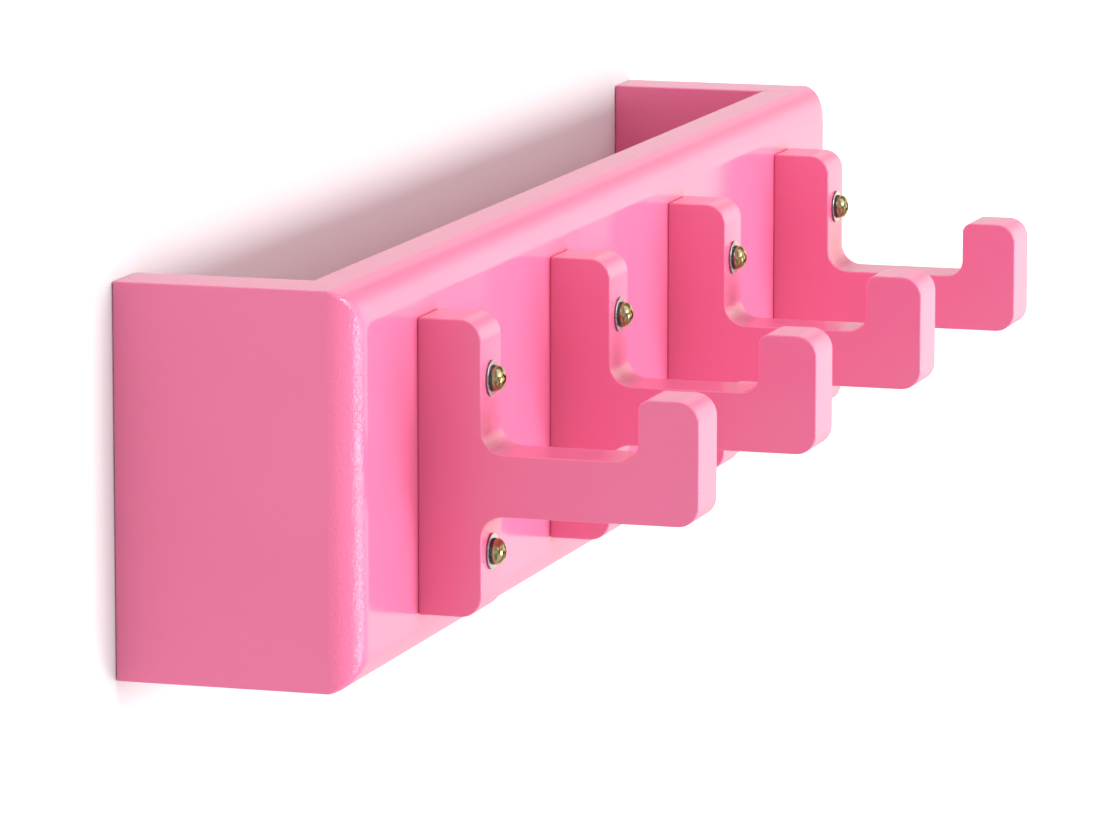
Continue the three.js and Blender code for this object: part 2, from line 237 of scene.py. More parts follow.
def hook_routed(n):
    """Strong near the hook's inner corners, weak on the rest of its sawn edges, 0 on its sides."""
    sideways = n.math("ABSOLUTE", n.split(n.add("NewGeometry").outputs["True Normal"])[0])
    edge = n.ramp(sideways, 0.4, 0.8, 1, 0)
    place = n.split(n.place())
    low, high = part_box("hook_1")
    face = high.y - HOOK_PLATE_DEPTH
    corners = [  # y and z of each, and how far its roughness reaches
        (face - 2 * MM, low.z + HOOK_ARM_TOP + 8 * MM, 15 * MM),
        (low.y + HOOK_TIP_DEPTH + 3 * MM, low.z + HOOK_ARM_TOP + 2 * MM, 8 * MM),
        (face - 2 * MM, low.z + HOOK_ARM_BOTTOM - 3 * MM, 8 * MM),
    ]
    total = None
    for y, z, reach in corners:
        across = n.math("POWER", n.math("SUBTRACT", place[1], y), 2.0)
        up = n.math("POWER", n.math("SUBTRACT", place[2], z), 2.0)
        near = n.ramp(n.math("SQRT", n.math("ADD", across, up)), 0.3 * reach, reach, 1, 0)
        total = near if total is None else n.math("MAXIMUM", total, near)
    return n.math("MULTIPLY", edge, n.ramp(total, 0, 1, 0.2, 0.7))


def fibreboard():
    """Bare fibreboard on the walls of drilled holes and routed pockets."""
    n = Nodes(bpy.data.materials.new("bare_fibreboard"))
    fibres = n.noise(0.0007, detail=5, roughness=0.7)
    n.join(n.mix(n.ramp(fibres, 0.3, 0.7), (0.36, 0.22, 0.115), (0.24, 0.135, 0.065)),
           n.shader.inputs["Base Color"])
    n.shader.inputs["Roughness"].default_value = 0.9
    n.join(n.bump(fibres, 0.0002, 0.6), n.shader.inputs["Normal"])
    return n.material


def beech():
    """Bare beech with its grain and short dark flecks along the dowel, which lies along X or Y."""
    n = Nodes(bpy.data.materials.new("bare_beech"))
    grain = n.noise(0.0014, detail=4, stretch=(0.25, 0.25, 1))
    fleck = n.ramp(n.noise(0.0009, detail=1, stretch=(0.3, 0.3, 1)), 0.62, 0.7)
    wood = n.mix(n.ramp(grain, 0.3, 0.7), (0.60, 0.37, 0.19), (0.47, 0.27, 0.125))
    n.join(n.mix(n.math("MULTIPLY", fleck, 0.5), wood, (0.27, 0.13, 0.055)), n.shader.inputs["Base Color"])
    n.shader.inputs["Roughness"].default_value = 0.75
    n.join(n.bump(grain, 0.0001, 0.4), n.shader.inputs["Normal"])
    return n.material


RIM_SHADE = (0.12, 0.08, 0.09)  # colour of the painted shade on a plated rim


def plated(name, first, second, roughness, tint_size, rim=0.0):
    """Plated steel: a mottled tint, fine scratches, slightly uneven gloss and rims darkened by painted
    shade.
    """
    n = Nodes(bpy.data.materials.new(name))
    tint = n.mix(n.ramp(n.noise(tint_size, detail=2), 0.35, 0.65), first, second)
    facing = n.math("ABSOLUTE", n.split(n.add("NewGeometry").outputs["Normal"])[1])
    # Painted shade: darkens the rims that face sideways to Y, by the share rim
    rim_shade = n.ramp(facing, 0.2, 0.6, rim, 0)
    n.join(n.mix(rim_shade, tint, RIM_SHADE), n.shader.inputs["Base Color"])
    n.shader.inputs["Metallic"].default_value = 1.0
    grit = n.noise(0.0004, detail=3)
    n.join(n.ramp(grit, 0.3, 0.7, roughness * 0.75, roughness * 1.3), n.shader.inputs["Roughness"])
    n.join(n.bump(grit, 0.00001, 0.25), n.shader.inputs["Normal"])
    return n.material


hook_paint = paint("hook_paint", hook_routed)
board_paint = paint("board_paint", board_routed)
bare_board = fibreboard()
bare_beech = beech()
yellow_zinc = plated("yellow_zinc", (0.46, 0.39, 0.18), (0.42, 0.30, 0.155), 0.17, 0.0025)
# Its rims are darkened with painted shade
bright_zinc = plated("bright_zinc", (0.64, 0.63, 0.63), (0.56, 0.55, 0.56), 0.30, 0.002, rim=0.8)
# Darker than the other plating, partly as painted shade for the dark ring under each screw head
dark_steel = plated("dark_steel", (0.15, 0.145, 0.14), (0.09, 0.085, 0.085), 0.28, 0.001)
brass = plated("brass", (0.58, 0.42, 0.17), (0.50, 0.37, 0.14), 0.25, 0.002)

# ---- mesh helpers ----------------------------------------------------------------------------


def rounded_outline(corners, steps=ARC_STEPS):
    """The points of a closed outline whose corners (u, v, radius) turn by a right angle."""
    places = [Vector(corner[:2]) for corner in corners]
    points = []
    for i, (u, v, radius) in enumerate(corners):
        corner = places[i]
        if radius == 0:
            points.append(corner)
            continue
        before = (places[i - 1] - corner).normalized()
        after = (places[(i + 1) % len(places)] - corner).normalized()
        centre = corner + (before + after) * radius
        for step in range(steps + 1):
            angle = math.pi / 2 * step / steps
            points.append(centre - after * radius * math.cos(angle) - before * radius * math.sin(angle))
    return points


def loft(rings):
    """A closed mesh through rings of equally many points, each ring joined to the next."""
    bm = bmesh.new()
    rows = [[bm.verts.new(point) for point in ring] for ring in rings]
    count = len(rows[0])
    for first, second in zip(rows, rows[1:]):
        for i in range(count):
            j = (i + 1) % count
            bm.faces.new((first[i], first[j], second[j], second[i]))
    bm.faces.new(rows[0])
    bm.faces.new(rows[-1])
    bmesh.ops.recalc_face_normals(bm, faces=bm.faces)
    return bm


def block(low, high):
    rings = []
    for x in (low.x, high.x):
        rings.append([(x, low.y, low.z), (x, high.y, low.z), (x, high.y, high.z), (x, low.y, high.z)])
    return loft(rings)


def turned(rows, sides, shape=None, ring=False):
    """A solid turned about Y through rows of (radius, y). shape(radius, y, angle) changes a radius."""
    bm = bmesh.new()
    loops = []
    for radius, y in rows:
        if radius == 0:
            loops.append([bm.verts.new((0, y, 0))])
            continue
        loop = []
        for i in range(sides):
            angle = 2 * math.pi * i / sides
            r = shape(radius, y, angle) if shape else radius
            loop.append(bm.verts.new((r * math.cos(angle), y, r * math.sin(angle))))
        loops.append(loop)
    pairs = list(zip(loops, loops[1:]))
    if ring:
        pairs.append((loops[-1], loops[0]))
    for first, second in pairs:
        for i in range(sides):
            j = (i + 1) % sides
            corners = [first[i % len(first)], first[j % len(first)]]
            corners += [second[j % len(second)], second[i % len(second)]]
            bm.faces.new(list(dict.fromkeys(corners)))
    bmesh.ops.recalc_face_normals(bm, faces=bm.faces)
    return bm


def rod(radius, start, end):
    """Rows for turned(): a plain cylinder between two places."""
    return [(0, start), (radius, start), (radius, end), (0, end)]


def moved(bm, place=(0, 0, 0), turn=None):
    """Turns a mesh about its origin by a matrix, then moves it."""
    if turn is not None:
        bm.transform(turn)
    bm.transform(Matrix.Translation(Vector(place)))
    return bm


def joined(meshes):
    """One mesh made of several."""
    whole = bmesh.new()
    for bm in meshes:
        part = bpy.data.meshes.new("part")
        bm.to_mesh(part)
        whole.from_mesh(part)
        bm.free()
        bpy.data.meshes.remove(part)
    return whole


def new_object(name, bm, materials):
    mesh = bpy.data.meshes.new(name)
    bm.to_mesh(mesh)
    bm.free()
    for material in materials:
        mesh.materials.append(material)
    piece = bpy.data.objects.new(name, mesh)
    bpy.context.scene.collection.objects.link(piece)
    return piece


def settle(piece):
    """Applies a piece's modifiers to its mesh."""
    depsgraph = bpy.context.evaluated_depsgraph_get()
    mesh = bpy.data.meshes.new_from_object(piece.evaluated_get(depsgraph))
    old = piece.data
    piece.modifiers.clear()
    piece.data = mesh
    mesh.name = old.name
    bpy.data.meshes.remove(old)


def cut(piece, cutter, lining=bare_board):
    """Cuts a mesh out of a piece. The walls of the cut are of the lining's material."""
    tool = new_object("cutter", cutter, [lining])
    boolean = piece.modifiers.new("cut", "BOOLEAN")
    boolean.operation = "DIFFERENCE"
    boolean.solver = "EXACT"
    boolean.material_mode = "TRANSFER"
    boolean.object = tool
    settle(piece)
    bpy.data.objects.remove(tool)


def ease(piece, share, width=EASED, angle=30, crease=None):
    """Rounds a piece's sharp edges between painted faces, and shades it crisply.

    share(middle) gives how much of the width an edge with this middle is rounded by.
    crease(middle) picks out slighter edges that are left crisp.
    """
    bm = bmesh.new()
    bm.from_mesh(piece.data)
    weight = bm.edges.layers.float.new("bevel_weight_edge")
    for edge in bm.edges:
        sharp = len(edge.link_faces) == 2 and edge.calc_face_angle(0) > math.radians(angle)
        painted = all(face.material_index == 0 for face in edge.link_faces)
        edge[weight] = float(share(middle_of(edge))) if sharp and painted else 0.0
    bm.to_mesh(piece.data)
    bm.free()
    bevel = piece.modifiers.new("eased", "BEVEL")
    bevel.limit_method = "WEIGHT"
    bevel.width = width
    bevel.segments = 3
    bevel.use_clamp_overlap = False
    settle(piece)
    smooth(piece, 40, crease)
    normals = piece.modifiers.new("crisp", "WEIGHTED_NORMAL")
    normals.keep_sharp = True
    normals.weight = 100


def middle_of(edge):
    return (edge.verts[0].co + edge.verts[1].co) / 2


def smooth(piece, angle=35, crease=None):
    """Smooth shading, with edges over the angle and those that crease picks out left crisp."""
    bm = bmesh.new()
    bm.from_mesh(piece.data)
    for edge in bm.edges:
        edge.smooth = len(edge.link_faces) == 2 and edge.calc_face_angle(0) < math.radians(angle)
        if crease and crease(middle_of(edge)):
            edge.smooth = False
    for face in bm.faces:
        face.smooth = True
    bm.to_mesh(piece.data)
    bm.free()


def stand_for(piece, node):
    """The piece rides with the rack and takes the CAD node's place."""
    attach(piece, "root")
    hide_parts(node)


def centre(node):
    low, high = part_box(node)
    return (low + high) / 2


# ---- cutters ---------------------------------------------------------------------------------

ALONG_X = Matrix.Rotation(math.radians(-90), 4, "Z")  # turns +Y to +X
HOLE_SIDES = 32


def hole_for(node, past_low=0.0, past_high=0.0):
    """A drill the size of a round piece's hole, along the piece's longest side."""
    low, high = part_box(node)
    size = high - low
    along = max(range(3), key=lambda axis: size[axis])
    radius = min(size) / 2 + GAP
    half = size[along] / 2 + END_GAP
    rows = rod(radius, -half - past_low, half + past_high)
    return moved(turned(rows, HOLE_SIDES), centre(node), ALONG_X if along == 0 else None)


def upright_slot(radius, low, high, y_low, y_high):
    """A block standing in the XZ plane, with round ends centred at z low and high."""
    steps = 16
    outline = []
    for place, start in ((high, 0), (low, math.pi)):
        for i in range(steps + 1):
            angle = start + math.pi * i / steps
            outline.append((radius * math.cos(angle), place + radius * math.sin(angle)))
    return loft([[(x, y, z) for x, z in outline] for y in (y_low, y_high)])


# ---- the trough ------------------------------------------------------------------------------

TROUGH_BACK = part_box("front_board")[1].y   # the plane where the end and bottom boards meet the front
INNER_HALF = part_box("end_panel_right")[0].x
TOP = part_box("front_board")[1].z
TOLERANCE = 0.05 * MM


def front_board():
    low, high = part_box("front_board")
    crease = low.y + ROUND_DEPTH
    radius = (ROUND_ACROSS ** 2 + ROUND_DEPTH ** 2) / (2 * ROUND_DEPTH)
    swept = math.asin(ROUND_ACROSS / radius)
    rows = [(high.y, 0, EASED)]
    for i in range(ARC_STEPS + 1):
        angle = swept * (1 - i / ARC_STEPS)
        sanded = EASED + (CORNER_SANDED - EASED) * i / ARC_STEPS
        inset = ROUND_ACROSS - radius * math.sin(angle)
        rows.append((low.y + radius * (1 - math.cos(angle)), inset, sanded))
    easing_end = INNER_HALF + 2 * EASED
    rings = []
    for y, inset, sanded in rows:
        left, right = low.x + inset, high.x - inset
        bottom, top = low.z + inset, high.z - inset
        outline = rounded_outline([
            (left, bottom, sanded), (-INNER_HALF, bottom, 0),
            (INNER_HALF, bottom, 0), (right, bottom, sanded),
            (right, top, sanded), (easing_end, top, 0), (INNER_HALF, top, 0),
            (-INNER_HALF, top, 0), (-easing_end, top, 0), (left, top, sanded),
        ], steps=6)
        rings.append([(point.x, y, point.y) for point in outline])
    piece = new_object("front_board_visual", loft(rings), [board_paint, bare_board])
    cutters = []
    for fixing in [f"{node}_{level}" for node in HOOKS for level in LEVELS]:
        past_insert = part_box(f"{fixing}_screw")[1].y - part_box(f"{fixing}_insert")[1].y
        cutters.append(hole_for(f"{fixing}_insert", past_low=CUT_PAST, past_high=past_insert))
    cutters += [hole_for(node) for node in END_DOWELS["left"] + END_DOWELS["right"] + FRONT_DOWELS]
    cut(piece, joined(cutters))

    def inner_top(middle):
        on_edge = abs(middle.y - TROUGH_BACK) < TOLERANCE and abs(middle.z - TOP) < TOLERANCE
        return on_edge and abs(middle.x) < INNER_HALF

    ease(piece, inner_top, crease=lambda middle: abs(middle.y - crease) < TOLERANCE)
    stand_for(piece, "front_board")


def end_panel(side):
    node = f"end_panel_{side}"
    low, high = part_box(node)
    piece = new_object(f"{node}_visual", block(low, high), [board_paint, bare_board])
    cutters = [hole_for(dowel) for dowel in END_DOWELS[side] + BOTTOM_DOWELS[side]]
    cut(piece, joined(cutters))
    cut(piece, hanger_seat(side))
    cut(piece, keyhole_pocket(side))
    cut(piece, joined([hole_for(f"hanger_{side}_{level}_screw") for level in LEVELS]))
    inner_x = high.x if side == "left" else low.x

    def free(middle):
        glued_front = abs(middle.y - TROUGH_BACK) < TOLERANCE
        glued_below = abs(middle.x - inner_x) < TOLERANCE and abs(middle.z - low.z) < TOLERANCE
        return not glued_front and not glued_below

    ease(piece, free)
    stand_for(piece, node)


def bottom_board():
    low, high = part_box("bottom_board")
    piece = new_object("bottom_board_visual", block(low, high), [board_paint, bare_board])
    dowels = BOTTOM_DOWELS["left"] + BOTTOM_DOWELS["right"] + FRONT_DOWELS
    cut(piece, joined([hole_for(dowel) for dowel in dowels]))

    def back_edge(middle):
        return abs(middle.y - high.y) < TOLERANCE and abs(middle.x) < INNER_HALF - TOLERANCE

    ease(piece, back_edge)
    stand_for(piece, "bottom_board")


# ---- hooks -----------------------------------------------------------------------------------


def hook(node):
    low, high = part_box(node)
    face = high.y - HOOK_PLATE_DEPTH
    tip = low.y + HOOK_TIP_DEPTH
    arm_bottom, arm_top, tip_top = (low.z + h for h in (HOOK_ARM_BOTTOM, HOOK_ARM_TOP, HOOK_TIP_TOP))
    outline = rounded_outline([
        (high.y, low.z, 0),
        (high.y, high.z, 0),
        (face, high.z, HOOK_OUTER_ROUND),
        (face, arm_top, HOOK_INNER_ROUND),
        (tip, arm_top, HOOK_ROOT_ROUND),
        (tip, tip_top, HOOK_TIP_ROUND),
        (low.y, tip_top, HOOK_OUTER_ROUND),
        (low.y, arm_bottom, HOOK_OUTER_ROUND),
        (face, arm_bottom, HOOK_OUTER_ROUND),
        (face, low.z, HOOK_OUTER_ROUND),
    ])
    rings = [[(x, point.x, point.y) for point in outline] for x in (low.x, high.x)]
    piece = new_object(f"{node}_visual", loft(rings), [hook_paint, bare_board])
    holes = []
    for level in LEVELS:
        screw = centre(f"{node}_{level}_screw")
        rows = rod(SCREW_RADIUS + GAP, face - CUT_PAST, high.y + CUT_PAST)
        holes.append(moved(turned(rows, HOLE_SIDES), (screw.x, 0, screw.z)))
    cut(piece, joined(holes))
    ease(piece, lambda middle: 1 if high.y - middle.y < TOLERANCE else EASED / CREVICE, width=CREVICE)
    stand_for(piece, node)


# ---- fasteners -------------------------------------------------------------------------------

SCREW_RADIUS = 2 * MM
THREAD_PITCH = 0.7 * MM
THREAD_DEPTH = 0.42 * MM
HEAD_HEIGHT = 2.8 * MM
HEAD_RIM = 0.45 * MM       # height of the straight rim under a pan head's dome
CROSS_SPAN = 4.2 * MM
CROSS_FLOOR = 1.9 * MM
CROSS_WIDTH = 0.95 * MM
CROSS_DEPTH = 1.5 * MM
HEAD_TURN = 137.5          # degrees from one screw's cross to the next


def threaded(pitch, depth, start, end):
    """A shape for turned(): a thread cut between two places, fading in over its first turn."""

    def shape(radius, y, angle):
        if not start <= y <= end:
            return radius
        phase = ((y - start) / pitch - angle / (2 * math.pi)) % 1.0
        fade = min(1.0, (y - start) / pitch, (end - y) / pitch)
        return radius - depth * fade * abs(2 * phase - 1)

    return shape


def thread_rows(radius, start, end, pitch, per_turn=6):
    count = round((end - start) / pitch * per_turn)
    return [(radius, start + (end - start) * i / count) for i in range(count + 1)]


def cross(mouth, depth, span, floor, width):
    """A tapering cross-shaped cutter, entered from -Y."""
    rings = []
    for y, reach, half in (
        (mouth - CUT_PAST, span / 2, width / 2),
        (mouth, span / 2, width / 2),
        (mouth + 0.8 * depth, floor / 2, 0.42 * width),
        (mouth + depth, 0.55 * floor, 0.2 * width),
    ):
        reach = max(reach, 1.2 * half)
        quarter = [(reach, -half), (reach, half), (half, half)]
        ring = []
        for turn in range(4):
            c, s = round(math.cos(math.pi / 2 * turn)), round(math.sin(math.pi / 2 * turn))
            ring += [(c * x - s * z, y, s * x + c * z) for x, z in quarter]
        rings.append(ring)
    return loft(rings)


def machine_screw(node, order):
    low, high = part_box(node)
    middle = centre(node)
    radius = (high.x - low.x) / 2
    seat = low.y + HEAD_HEIGHT
    dome = HEAD_HEIGHT - HEAD_RIM
    rows = [(0, low.y)]
    for i in range(1, ARC_STEPS + 1):
        angle = math.pi / 2 * i / ARC_STEPS
        rows.append((radius * math.sin(angle), low.y + dome * (1 - math.cos(angle))))
    edge = 0.12 * MM
    rows += [(radius, seat - edge), (radius - edge, seat), (SCREW_RADIUS, seat)]
    start, end = seat + 1 * MM, high.y - 0.5 * MM
    rows += thread_rows(SCREW_RADIUS, start, end, THREAD_PITCH)
    rows += [(SCREW_RADIUS - THREAD_DEPTH, high.y), (0, high.y)]
    shape = threaded(THREAD_PITCH, THREAD_DEPTH, start, end)
    piece = new_object(f"{node}_visual", turned(rows, 32, shape), [yellow_zinc])
    cut(piece, cross(low.y, CROSS_DEPTH, CROSS_SPAN, CROSS_FLOOR, CROSS_WIDTH), yellow_zinc)
    turn = Matrix.Rotation(math.radians(HEAD_TURN * order), 4, "Y")
    piece.data.transform(Matrix.Translation((middle.x, 0, middle.z)) @ turn)
    smooth(piece)
    stand_for(piece, node)


def flat_washer(node):
    low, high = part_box(node)
    middle = centre(node)
    outer = (high.x - low.x) / 2
    inner = SCREW_RADIUS + GAP
    edge = 0.15 * MM
    rows = [
        (inner, low.y), (outer - 2 * edge, low.y),
        (outer - 0.6 * edge, low.y + 0.3 * edge), (outer, low.y + edge),
        (outer, high.y - 0.3 * edge), (outer - 0.3 * edge, high.y), (inner, high.y),
    ]
    disc = moved(turned(rows, 64, ring=True), (middle.x, 0, middle.z))
    piece = new_object(f"{node}_visual", disc, [bright_zinc])
    smooth(piece)
    stand_for(piece, node)


def lock_washer(node, order):
    """A split ring, one end a little proud of the other, with eased edges."""
    low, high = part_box(node)
    middle = centre(node)
    outer = (high.x - low.x) / 2
    inner = SCREW_RADIUS + GAP
    split = math.radians(9)
    start = math.radians(-50 + 37 * order % 100)
    spring = 0.12 * MM
    edge = 0.1 * MM
    steps = 72
    rings = []
    for i in range(steps + 1):
        share = i / steps
        angle = start + split + (2 * math.pi - 2 * split) * share
        lift = spring * (share - 0.5)
        y0, y1 = low.y + max(0, lift), high.y + min(0, lift)
        section = [
            (inner, y0 + edge), (inner + edge, y0), (outer - edge, y0), (outer, y0 + edge),
            (outer, y1 - edge), (outer - edge, y1), (inner + edge, y1), (inner, y1 - edge),
        ]
        c, s = math.cos(angle), math.sin(angle)
        rings.append([(middle.x + r * c, y, middle.z + r * s) for r, y in section])
    # The lock washer's darkness is partly painted shade under the screw head
    piece = new_object(f"{node}_visual", loft(rings), [dark_steel])
    smooth(piece)
    stand_for(piece, node)


def insert(node):
    low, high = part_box(node)
    middle = centre(node)
    outer = (high.x - low.x) / 2
    inner = SCREW_RADIUS + GAP
    pitch = 2 * MM
    chamfer = 0.3 * MM
    shoulder = outer - 0.5 * MM
    start, end = low.y + chamfer, high.y - chamfer
    rows = [(inner + chamfer, low.y), (shoulder, low.y)]
    rows += thread_rows(outer, start, end, pitch, 8)
    rows += [(shoulder, high.y), (inner + chamfer, high.y), (inner, end), (inner, start)]
    coarse = threaded(pitch, 0.8 * MM, start, end)

    def shape(radius, y, angle):
        return coarse(radius, y, angle) if radius > inner + 1 * MM else radius

    sleeve = moved(turned(rows, 36, shape, ring=True), (middle.x, 0, middle.z))
    piece = new_object(f"{node}_visual", sleeve, [brass])
    smooth(piece)
    stand_for(piece, node)


def dowel(node):
    """A fluted dowel with chamfered ends."""
    low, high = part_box(node)
    size = high - low
    along = 0 if size.x > size.y else 1
    radius = size.z / 2
    half = size[along] / 2
    chamfer = 1 * MM
    flutes = 12
    flute_depth = 0.3 * MM

    def shape(r, y, angle):
        groove = max(0.0, math.cos(flutes * angle)) ** 4
        return r - (flute_depth * groove if r > 0.9 * radius else 0)

    rows = [(0, -half), (radius - chamfer, -half), (radius, chamfer - half)]
    rows += [(radius, half - chamfer), (radius - chamfer, half), (0, half)]
    bm = moved(turned(rows, 72, shape), centre(node), ALONG_X if along == 0 else None)
    piece = new_object(f"{node}_visual", bm, [bare_beech])
    smooth(piece, 25)
    stand_for(piece, node)


# ---- keyhole hangers -------------------------------------------------------------------------

KEYHOLE_HEAD = 4.6 * MM    # radius that a wall screw's head passes
KEYHOLE_NECK = 2.4 * MM
KEYHOLE_REACH = 5 * MM     # from the plate's middle to the head hole's centre, and to the neck's end
KEYHOLE_DEPTH = 9 * MM
HANGER_SCREW_RADIUS = 1.3 * MM
HANGER_HEAD_HEIGHT = 1.5 * MM


def hanger_shape(side, grow=0.0, y_low=None, y_high=None):
    """The hanger plate's outline as a block, grown all round, between two places."""
    low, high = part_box(f"hanger_{side}")
    radius = (high.x - low.x) / 2
    end = (high.z - low.z) / 2 - radius
    middle = centre(f"hanger_{side}")
    y_low = low.y if y_low is None else y_low
    y_high = high.y if y_high is None else y_high
    return moved(upright_slot(radius + grow, -end, end, y_low, y_high), (middle.x, 0, middle.z))


def hanger_seat(side):
    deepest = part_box(f"hanger_{side}")[0].y
    return hanger_shape(side, GAP, deepest - GAP, CUT_PAST)


def keyhole_pocket(side):
    middle = centre(f"hanger_{side}")
    slot = upright_slot(KEYHOLE_HEAD, -KEYHOLE_REACH, KEYHOLE_REACH, -KEYHOLE_DEPTH, CUT_PAST)
    return moved(slot, (middle.x, 0, middle.z))


def hanger(side):
    node = f"hanger_{side}"
    low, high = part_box(node)
    middle = centre(node)
    piece = new_object(f"{node}_visual", hanger_shape(side), [bright_zinc])
    past = 2 * MM
    head_rows = rod(KEYHOLE_HEAD, low.y - past, high.y + past)
    head = moved(turned(head_rows, 40), (middle.x, 0, middle.z - KEYHOLE_REACH))
    neck = upright_slot(KEYHOLE_NECK, -KEYHOLE_REACH, KEYHOLE_REACH, low.y - past, high.y + past)
    cut(piece, head, bright_zinc)
    cut(piece, moved(neck, (middle.x, 0, middle.z)), bright_zinc)
    for level in LEVELS:
        screw_low, screw_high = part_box(f"{node}_{level}_screw")
        place = centre(f"{node}_{level}_screw")
        wide = (screw_high.x - screw_low.x) / 2 + GAP
        narrow = HANGER_SCREW_RADIUS + GAP
        sink = screw_high.y - HANGER_HEAD_HEIGHT
        rows = [
            (0, low.y - past), (narrow, low.y - past), (narrow, sink), (wide, screw_high.y),
            (wide, high.y + past), (0, high.y + past),
        ]
        cut(piece, moved(turned(rows, 40), (place.x, 0, place.z)), bright_zinc)
    ease(piece, lambda middle: True, width=0.2 * MM, angle=50)
    stand_for(piece, node)


def hanger_screw(node, order):
    low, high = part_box(node)
    middle = centre(node)
    head = (high.x - low.x) / 2
    r = HANGER_SCREW_RADIUS
    neck = high.y - HANGER_HEAD_HEIGHT
    point = low.y + 3 * MM
    pitch = 1.2 * MM
    thread_end = neck - 0.5 * MM
    edge = 0.1 * MM
    rows = [(0, low.y)]
    for i in range(1, 5):
        rows.append((r * (0.15 + 0.85 * i / 5), low.y + (point - low.y) * (i + 0.3) / 5.3))
    rows += thread_rows(r, point, thread_end, pitch, 8)
    rows += [(r, neck), (head - edge, high.y - edge), (head - edge, high.y), (0, high.y)]
    shape = threaded(pitch, 0.35 * MM, low.y + 1 * MM, thread_end)
    piece = new_object(f"{node}_visual", turned(rows, 32, shape), [bright_zinc])
    recess = cross(-high.y, depth=1.1 * MM, span=3 * MM, floor=1.2 * MM, width=0.7 * MM)
    cut(piece, moved(recess, turn=Matrix.Rotation(math.pi, 4, "Z")), bright_zinc)
    turn = Matrix.Rotation(math.radians(HEAD_TURN * order), 4, "Y")
    piece.data.transform(Matrix.Translation((middle.x, 0, middle.z)) @ turn)
    smooth(piece)
    stand_for(piece, node)


# ---- making it all ---------------------------------------------------------------------------

front_board()
bottom_board()
for side in SIDES:
    end_panel(side)
    hanger(side)
    for order, level in enumerate(LEVELS):
        hanger_screw(f"hanger_{side}_{level}_screw", order)
    for node in END_DOWELS[side] + BOTTOM_DOWELS[side]:
        dowel(node)
for node in FRONT_DOWELS:
    dowel(node)
for number, node in enumerate(HOOKS):
    hook(node)
    for level_number, level in enumerate(LEVELS):
        order = 2 * number + level_number
        machine_screw(f"{node}_{level}_screw", order)
        lock_washer(f"{node}_{level}_lock_washer", order)
        flat_washer(f"{node}_{level}_flat_washer")
        insert(f"{node}_{level}_insert")

# ---- stage -----------------------------------------------------------------------------------

WALL_GAP = 0.3 * MM        # the rack stands this far off the wall
WALL_REACH = 8.0           # to either side of the rack, and up and down
HIDDEN = 1.6 * MM          # how far inside the rack's back edges the wall's openings end
COVE = 0.35                # radius of the curve from wall to floor
COVE_STEPS = 24
FLOOR_DROP = 0.45
FLOOR_DEPTH = 9.0


def stage_paint(name):
    """Matt white that is seen from the room only, so that a view from behind isn't blocked."""
    n = Nodes(bpy.data.materials.new(name))
    tone = n.ramp(n.noise(0.5, detail=2), 0.3, 0.7)
    n.join(n.mix(tone, (0.82, 0.81, 0.81), (0.79, 0.78, 0.78)), n.shader.inputs["Base Color"])
    n.shader.inputs["Roughness"].default_value = 0.9
    n.shader.inputs["Specular IOR Level"].default_value = 0.1
    one_sided = n.add("MixShader")
    n.join(n.add("NewGeometry").outputs["Backfacing"], one_sided.inputs[0])
    n.join(n.shader.outputs[0], one_sided.inputs[1])
    n.join(n.add("BsdfTransparent").outputs[0], one_sided.inputs[2])
    n.join(one_sided.outputs[0], n.tree.nodes["Material Output"].inputs["Surface"])
    return n.material


def wall():
    """The wall that the rack hangs on, open behind the rack's own back edges.

    Outside the trough, gloss mirrors the studio behind the wall in its place, which is less bright.
    """
    low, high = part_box("end_panel_right")
    outer, inner = high.x - HIDDEN, low.x + HIDDEN
    across = [-WALL_REACH, -outer, -inner, inner, outer, WALL_REACH]
    up = [-WALL_REACH, low.z + HIDDEN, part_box("bottom_board")[1].z - HIDDEN, high.z - HIDDEN, WALL_REACH]
    open_behind = {(1, 1), (1, 2), (3, 1), (3, 2), (2, 1)}
    cells = {(column, row) for column in range(len(across) - 1) for row in range(len(up) - 1)}
    in_trough = {(2, 2)}
    white = stage_paint("wall_paint")
    for name, chosen in (("wall", cells - open_behind - in_trough), ("wall_in_trough", in_trough)):
        bm = bmesh.new()
        for column, row in sorted(chosen):
            corners = [(0, 0), (1, 0), (1, 1), (0, 1)]
            bm.faces.new([bm.verts.new((across[column + i], WALL_GAP, up[row + j])) for i, j in corners])
        bmesh.ops.remove_doubles(bm, verts=bm.verts, dist=TOLERANCE)
        part = new_object(name, bm, [white])
        part.visible_glossy = name == "wall_in_trough"


def sweep():
    """A pale floor that curves up into the wall, seen by the camera only."""
    profile = [(WALL_GAP, COVE - FLOOR_DROP)]
    for i in range(COVE_STEPS + 1):
        angle = math.pi / 2 * i / COVE_STEPS
        profile.append((-COVE * (1 - math.cos(angle)), COVE * (1 - math.sin(angle)) - FLOOR_DROP))
    profile.append((-FLOOR_DEPTH, -FLOOR_DROP))
    bm = bmesh.new()
    rows = [[bm.verts.new((x, y, z)) for x in (-WALL_REACH, WALL_REACH)] for y, z in profile]
    for first, second in zip(rows, rows[1:]):
        bm.faces.new((first[0], second[0], second[1], first[1]))
    floor = new_object("sweep", bm, [stage_paint("floor_paint")])
    smooth(floor)
    floor.visible_diffuse = False
    floor.visible_glossy = False
    floor.visible_shadow = False


def softbox(name, place, aim, width, height, watts, on_matt=True, on_gloss=True):
    """A soft light, which can be kept off matt colour or out of mirror highlights."""
    data = bpy.data.lights.new(name, "AREA")
    data.shape = "RECTANGLE"
    data.size = width
    data.size_y = height
    data.energy = watts
    light = bpy.data.objects.new(name, data)
    light.location = place
    light.rotation_euler = (Vector(aim) - Vector(place)).to_track_quat("-Z", "Y").to_euler()
    light.visible_diffuse = on_matt
    light.visible_glossy = on_gloss
    bpy.context.scene.collection.objects.link(light)


